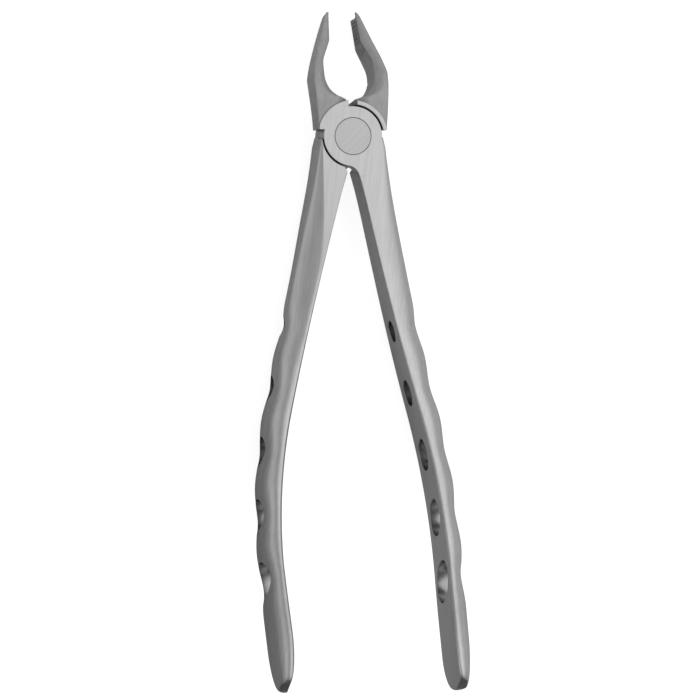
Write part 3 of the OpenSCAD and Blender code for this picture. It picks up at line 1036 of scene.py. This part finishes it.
# %% Which face gets which finish
LEVEL, AT_FACE, INWARD = 0.999, 0.05, 0.5
DISC_MARGIN, WALL_MARGIN, HOLLOW_MARGIN = 0.1, 0.2, 0.02
GRIPS_BELOW, TIPS_ABOVE = -40, 18


def on_jaw(centre, normal):
    from_face = abs(abs(centre[:, 2] - HALF_T) - HALF_T)
    level = (abs(normal[:, 2]) > LEVEL) & (from_face < AT_FACE)
    past_disc = np.hypot(centre[:, 0], centre[:, 1]) > DISC_R + DISC_MARGIN
    return (centre[:, 1] > JAW_ROOT_Y) & past_disc & ~level


def in_hole(i, sign, centre, normal):
    s, r = HOLE_START + i * HOLE_PITCH, hole_r(i)
    (x, y), h = plan_point(s), heading(s)
    axis = np.array([sign * math.cos(h), math.sin(h), 0])
    arm = centre - np.array([sign * x, y, lift(s) + HALF_T])
    arm = arm - np.outer(arm @ axis, axis)
    off = np.linalg.norm(arm, axis=1)
    inward = (arm * normal).sum(1) < -INWARD * off
    return (off < r + RIM) & (off > r - WALL_MARGIN) & inward & (centre[:, 1] < GRIPS_BELOW)


def in_hollow(sign, centre):
    flip = np.array([sign, 1, 1])
    origin = np.array(GOUGE_PLACE.translation) / MM * flip + [0, 0, HALF_T]
    axis = np.array(GOUGE_PLACE.to_3x3() @ Vector((0, 0, 1))) * flip
    arm = centre - origin
    height = arm @ axis
    off = np.linalg.norm(arm - np.outer(height, axis), axis=1)
    near = off < HOLLOW_R + GROOVE_DEPTH + HOLLOW_MARGIN
    return near & (height > -HOLLOW_R) & (centre[:, 1] > TIPS_ABOVE)


print("four finishes on each half, one on the pivot")

# %% [markdown]
# ## Dress the pieces
# The answers become material numbers, and the shading is smooth except across sharp edges.
# Plain smooth shading would make the big flats look dented beside the many small faces of the
# curves; weighted normals keep them flat.

# %% Dress the pieces
SHARP = math.radians(28)
SATIN, BLASTED, BORED, CUT = range(4)


def smooth(mesh):
    mesh.polygons.foreach_set("use_smooth", np.ones(len(mesh.polygons), bool))
    mesh.set_sharp_from_angle(angle=SHARP)


def dress(piece, sign):
    mesh = piece.data
    mesh.materials.clear()
    for material in (satin, blasted, bored, cut):
        mesh.materials.append(material)
    count = len(mesh.polygons)
    centre, normal = np.zeros(count * 3), np.zeros(count * 3)
    mesh.polygons.foreach_get("center", centre)
    mesh.polygons.foreach_get("normal", normal)
    centre, normal = centre.reshape(-1, 3) / MM, normal.reshape(-1, 3)
    index = np.full(count, SATIN, np.int32)
    index[on_jaw(centre, normal)] = BLASTED
    for i in range(HOLE_COUNT):
        index[in_hole(i, sign, centre, normal)] = BORED
    index[in_hollow(-sign, centre)] = CUT
    mesh.polygons.foreach_set("material_index", index)
    smooth(mesh)
    weigh = piece.modifiers.new("even shading", "WEIGHTED_NORMAL")
    weigh.keep_sharp = True
    print(piece.name, "faces per finish", np.bincount(index, minlength=4).tolist())


dress(front, 1)
dress(rear, -1)
pivot.data.materials.append(head_steel)
smooth(pivot.data)

# %% [markdown]
# ## Put the pieces on their bodies
# Every fine piece takes the place of one construction piece and rides on its body. Keyframes
# could turn the halves too, but only for one motion; a piece that rides is right at every
# angle of the hinge. The pivot rides with the rear half, because its tail is closed there.

# %% Put the pieces on their bodies
for piece, node, body, slot in (
        (front, "front_half", "front", "satin_steel"),
        (rear, "rear_half", "rear", "satin_steel"),
        (pivot, "pivot", "rear", "pivot_steel")):
    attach(piece, body)
    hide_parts(node)
print("replaced", sorted(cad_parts))

# %% [markdown]
# ## Floor
# The instrument lies on its back: it touches the floor under the tips of the jaws and under
# the handles. The floor's slope comes from those two places. The floor is white paper. More
# light would make it white too, but would bleach the steel. So the paper glows a little, for
# the camera and in reflections only.

# %% Floor
JOINT_REACH = 0.02
FLOOR_SIDE, FLOOR_UNDER = 3.0, 0.00005
PAPER_GLOW, PAPER_TONE = (0.8, 0.8, 0.8, 1), (0.7, 0.7, 0.7, 1)

spots = np.concatenate([np.array([v.co for v in p.data.vertices]) for p in (front, rear)])
tip = spots[spots[:, 1] > JOINT_REACH]
tip = tip[tip[:, 2].argmin()]
behind = spots[spots[:, 1] < -JOINT_REACH]
slope = ((behind[:, 2] - tip[2]) / (behind[:, 1] - tip[1])).max()


def sheet(name, cover, side_x, low_y, high_y, under):
    """A flat sheet on the floor's slope, with a cover: an empty material of that name."""
    outline = ((-side_x, low_y), (side_x, low_y), (side_x, high_y), (-side_x, high_y))
    corners = [(x, y, tip[2] + slope * (y - tip[1]) - under) for x, y in outline]
    mesh = bpy.data.meshes.new(name)
    mesh.from_pydata(corners, [], [(0, 1, 2, 3)])
    piece = bpy.data.objects.new(name, mesh)
    bpy.context.scene.collection.objects.link(piece)
    material = bpy.data.materials.new(cover)
    material.use_nodes = True
    material.node_tree.nodes.clear()
    mesh.materials.append(material)
    return piece, material.node_tree


_, tree = sheet("floor", "white_paper", FLOOR_SIDE, -FLOOR_SIDE, FLOOR_SIDE, FLOOR_UNDER)
path = tree.nodes.new("ShaderNodeLightPath").outputs
seen = calc(tree, "ADD", path["Is Camera Ray"], path["Is Glossy Ray"])
glow = tree.nodes.new("ShaderNodeEmission")
glow.inputs["Color"].default_value = PAPER_GLOW
tree.links.new(calc(tree, "ADD", seen, path["Is Transmission Ray"]), glow.inputs["Strength"])
paper = tree.nodes.new("ShaderNodeBsdfDiffuse")
paper.inputs["Color"].default_value = PAPER_TONE
white = tree.nodes.new("ShaderNodeAddShader")
tree.links.new(paper.outputs[0], white.inputs[0])
tree.links.new(glow.outputs[0], white.inputs[1])
tree.links.new(white.outputs[0], tree.nodes.new("ShaderNodeOutputMaterial").inputs["Surface"])
print("floor slope %.2f degrees" % math.degrees(math.atan(slope)))

# %% [markdown]
# ## Grey card with painted shade
# Photographers keep the sides of bright tools dark with a sheet of grey card. This one lies
# under the instrument, and only the steel sees it, in reflections. Its tone is painted shade:
# it is darker toward the lower left, and beyond the ends of the grips it turns almost black.

# %% Grey card with painted shade
CARD_SIDE, CARD_LOW, CARD_HIGH, CARD_UNDER = 0.6, -0.7, 0.3, 0.00003
CARD_SLANT = (5.5, 3.2, 0)
# Painted shade: the card's tone falls toward the lower left and to almost black past the grips.
CARD_SHADE_TONES = (-0.55, 0.08, 0.38, 0.90)
CARD_SHADE_BORDER = (-0.21, -0.16, 0.04, 1.0)

card, tree = sheet("card", "painted_shade_card", CARD_SIDE, CARD_LOW, CARD_HIGH, CARD_UNDER)
card.visible_camera = False
card.visible_diffuse = False
card.visible_transmission = False
card.visible_shadow = False
position = tree.nodes.new("ShaderNodeNewGeometry").outputs["Position"]
slant = vector_calc(tree, "DOT_PRODUCT", position, CARD_SLANT, "Value")
split = tree.nodes.new("ShaderNodeSeparateXYZ")
tree.links.new(position, split.inputs[0])
shade_border = levels(tree, split.outputs["Y"], *CARD_SHADE_BORDER)
matt = tree.nodes.new("ShaderNodeBsdfDiffuse")
tone = calc(tree, "MULTIPLY", levels(tree, slant, *CARD_SHADE_TONES), shade_border)
tree.links.new(tone, matt.inputs["Color"])
tree.links.new(matt.outputs[0], tree.nodes.new("ShaderNodeOutputMaterial").inputs["Surface"])
print("card %.1f m wide" % (2 * CARD_SIDE))

# %% [markdown]
# ## Light
# The room is a light tent, a tunnel of soft light that runs along the instrument. Across
# the tunnel the brightness changes: a wide bright band overhead and to the right, a dim
# seam on its left, and a weaker band low on the left. Satin steel shows that order on every
# rounded face, so the flats shine while the handles fade through grey to a dark edge. Toward
# the ends of the grips the tunnel grows dark. Single lamps would leave hard spots instead.

# %% Light
ACROSS = ((-90, 0.18), (-80, 0.30), (-70, 0.54), (-58, 0.66), (-42, 0.60), (-28, 0.45),
          (-14, 0.31), (-4, 0.47), (5, 0.92), (12, 1.0), (42, 1.0), (56, 0.78),
          (70, 0.55), (82, 0.45), (90, 0.40))
LENGTHWISE = ((-1.0, 0.03), (-0.9, 0.08), (-0.75, 0.24), (-0.5, 0.58), (-0.25, 0.90),
              (0.0, 1.0), (0.55, 0.98), (0.85, 0.80), (1.0, 0.50))


def fade(tree, value, reach, table):
    """Brightness from a table of (place, level); places run from -reach to reach."""
    ramp = tree.nodes.new("ShaderNodeValToRGB")
    stops = ramp.color_ramp.elements
    while len(stops) < len(table):
        stops.new(0.5)
    for stop, (at, level) in zip(stops, table):
        stop.position = at / (2 * reach) + 0.5
        stop.color = (level, level, level, 1)
    tree.links.new(value, ramp.inputs[0])
    return ramp.outputs[0]


world = bpy.data.worlds.new("studio")
bpy.context.scene.world = world
world.use_nodes = True
tent = world.node_tree
tent.nodes.clear()
split = tent.nodes.new("ShaderNodeSeparateXYZ")
tent.links.new(tent.nodes.new("ShaderNodeTexCoord").outputs["Generated"], split.inputs[0])
angle = calc(tent, "ARCTAN2", split.outputs["X"], split.outputs["Z"])
angle = calc(tent, "MULTIPLY_ADD", angle, 1 / math.pi, 0.5)
way = calc(tent, "MULTIPLY_ADD", split.outputs["Y"], 0.5, 0.5)
dome = tent.nodes.new("ShaderNodeBackground")
tent.links.new(fade(tent, angle, 90, ACROSS), dome.inputs["Color"])
tent.links.new(fade(tent, way, 1, LENGTHWISE), dome.inputs["Strength"])
tent.links.new(dome.outputs[0], tent.nodes.new("ShaderNodeOutputWorld").inputs["Surface"])
print("tent with", len(ACROSS), "steps across and", len(LENGTHWISE), "along")

# %% [markdown]
# ## Camera
# The photograph was taken from far away, turned a little to the left, which shows the
# inner face of the right handle and the outer side of the left one. From near by, a short
# lens would make the raised grips look bigger than the jaws; a long one keeps the scale even.

# %% Camera
VIEW_TURN = math.radians(14)
DISTANCE = 1.5
FRAME_WIDTH = 0.182
SENSOR = 36.0
TARGET = Vector((0.353, -55.43, 4.89)) * MM
camera = bpy.data.objects.new("camera", bpy.data.cameras.new("camera"))
camera.data.sensor_width = SENSOR
camera.data.lens = SENSOR * DISTANCE / FRAME_WIDTH
camera.location = TARGET + DISTANCE * Vector((-math.sin(VIEW_TURN), 0, math.cos(VIEW_TURN)))
camera.rotation_euler = (0, -VIEW_TURN, 0)
bpy.context.scene.collection.objects.link(camera)
bpy.context.scene.camera = camera
bpy.context.scene.view_settings.view_transform = "Standard"
print("lens %.1f mm" % camera.data.lens)

# %% [markdown]
# ## Measure and finish
# The box around the two fine halves is printed, in millimetres.

# %% Measure and finish
print("the halves measure", (np.ptp(spots, axis=0) / MM).round(1), "mm")
